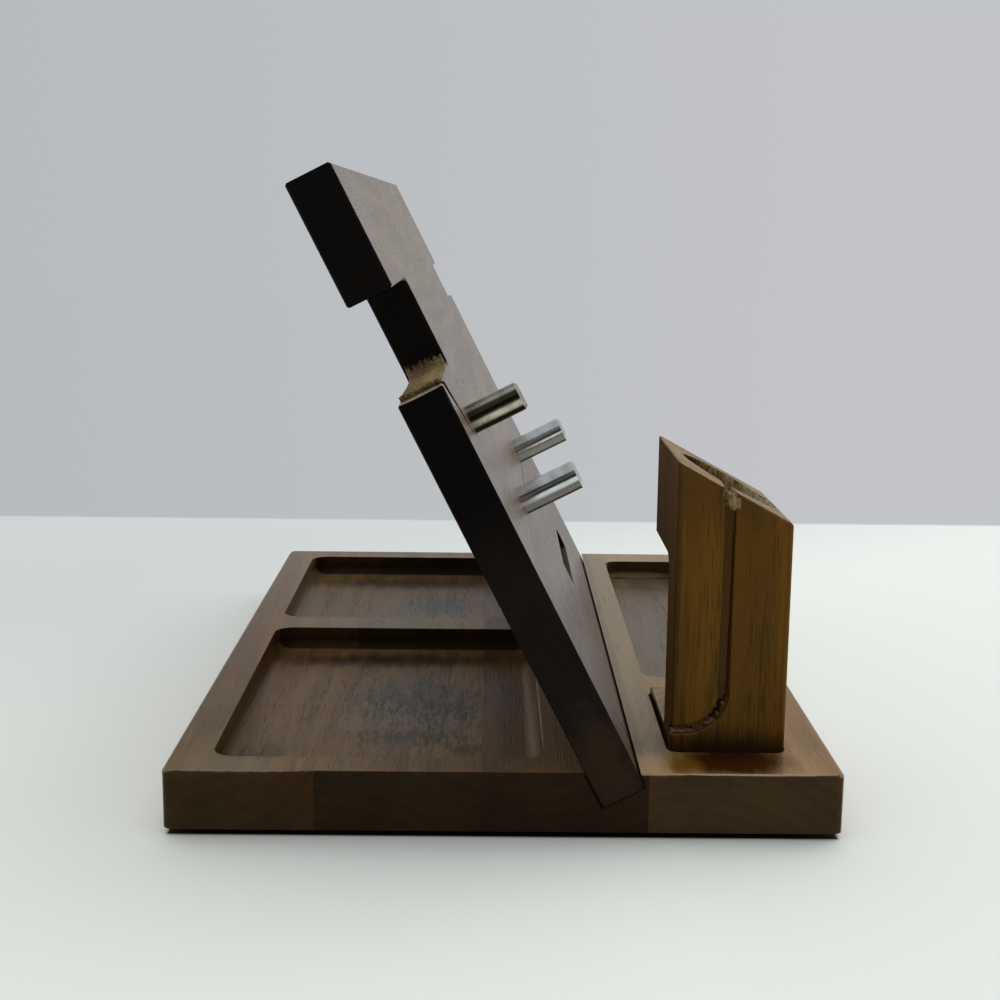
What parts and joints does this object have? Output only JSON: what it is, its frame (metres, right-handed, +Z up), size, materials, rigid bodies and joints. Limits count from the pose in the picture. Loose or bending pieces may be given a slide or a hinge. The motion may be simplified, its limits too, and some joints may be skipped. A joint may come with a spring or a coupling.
{
  "type": "phone docking station",
  "caption": "Wooden phone dock: base board with shallow trays, leaning back board with key pegs, and a C-shaped watch post with a charger pocket and a cable groove.",
  "frame": {"origin": "middle of the footprint, on the surface that the feet stand on", "axes": "+X to the right of a person in front of the dock, +Y to the back, +Z up"},
  "size_m": [0.3, 0.2, 0.1935],
  "materials": {
    "base_wood": "satin walnut stain",
    "board_wood": "satin walnut stain",
    "post_wood": "satin walnut stain",
    "peg_metal": "polished",
    "foot_rubber": "matt"
  },
  "bodies": {
    "base": {"base_front_stave": "base_wood", "base_housing_stave": "base_wood", "base_tray_stave": "base_wood", "base_rear_stave": "base_wood", "foot_front_left": "foot_rubber", "foot_front_right": "foot_rubber", "foot_rear_left": "foot_rubber", "foot_rear_right": "foot_rubber"},
    "back_board": {"back_lower_stave": "board_wood", "back_middle_stave": "board_wood", "back_upper_stave": "board_wood", "single_key_peg": "peg_metal", "left_pair_peg": "peg_metal", "right_pair_peg": "peg_metal"},
    "watch_post": {"watch_post": "post_wood"}
  },
  "joints": [
    {"name": "back_board_lift", "type": "slide", "parent": "base", "child": "back_board", "axis": [0, 0.454, 0.891], "range_m": [0, 0.03]},
    {"name": "watch_post_lift", "type": "slide", "parent": "base", "child": "watch_post", "axis": [0, 0, 1], "range_m": [0, 0.02]}
  ]
}
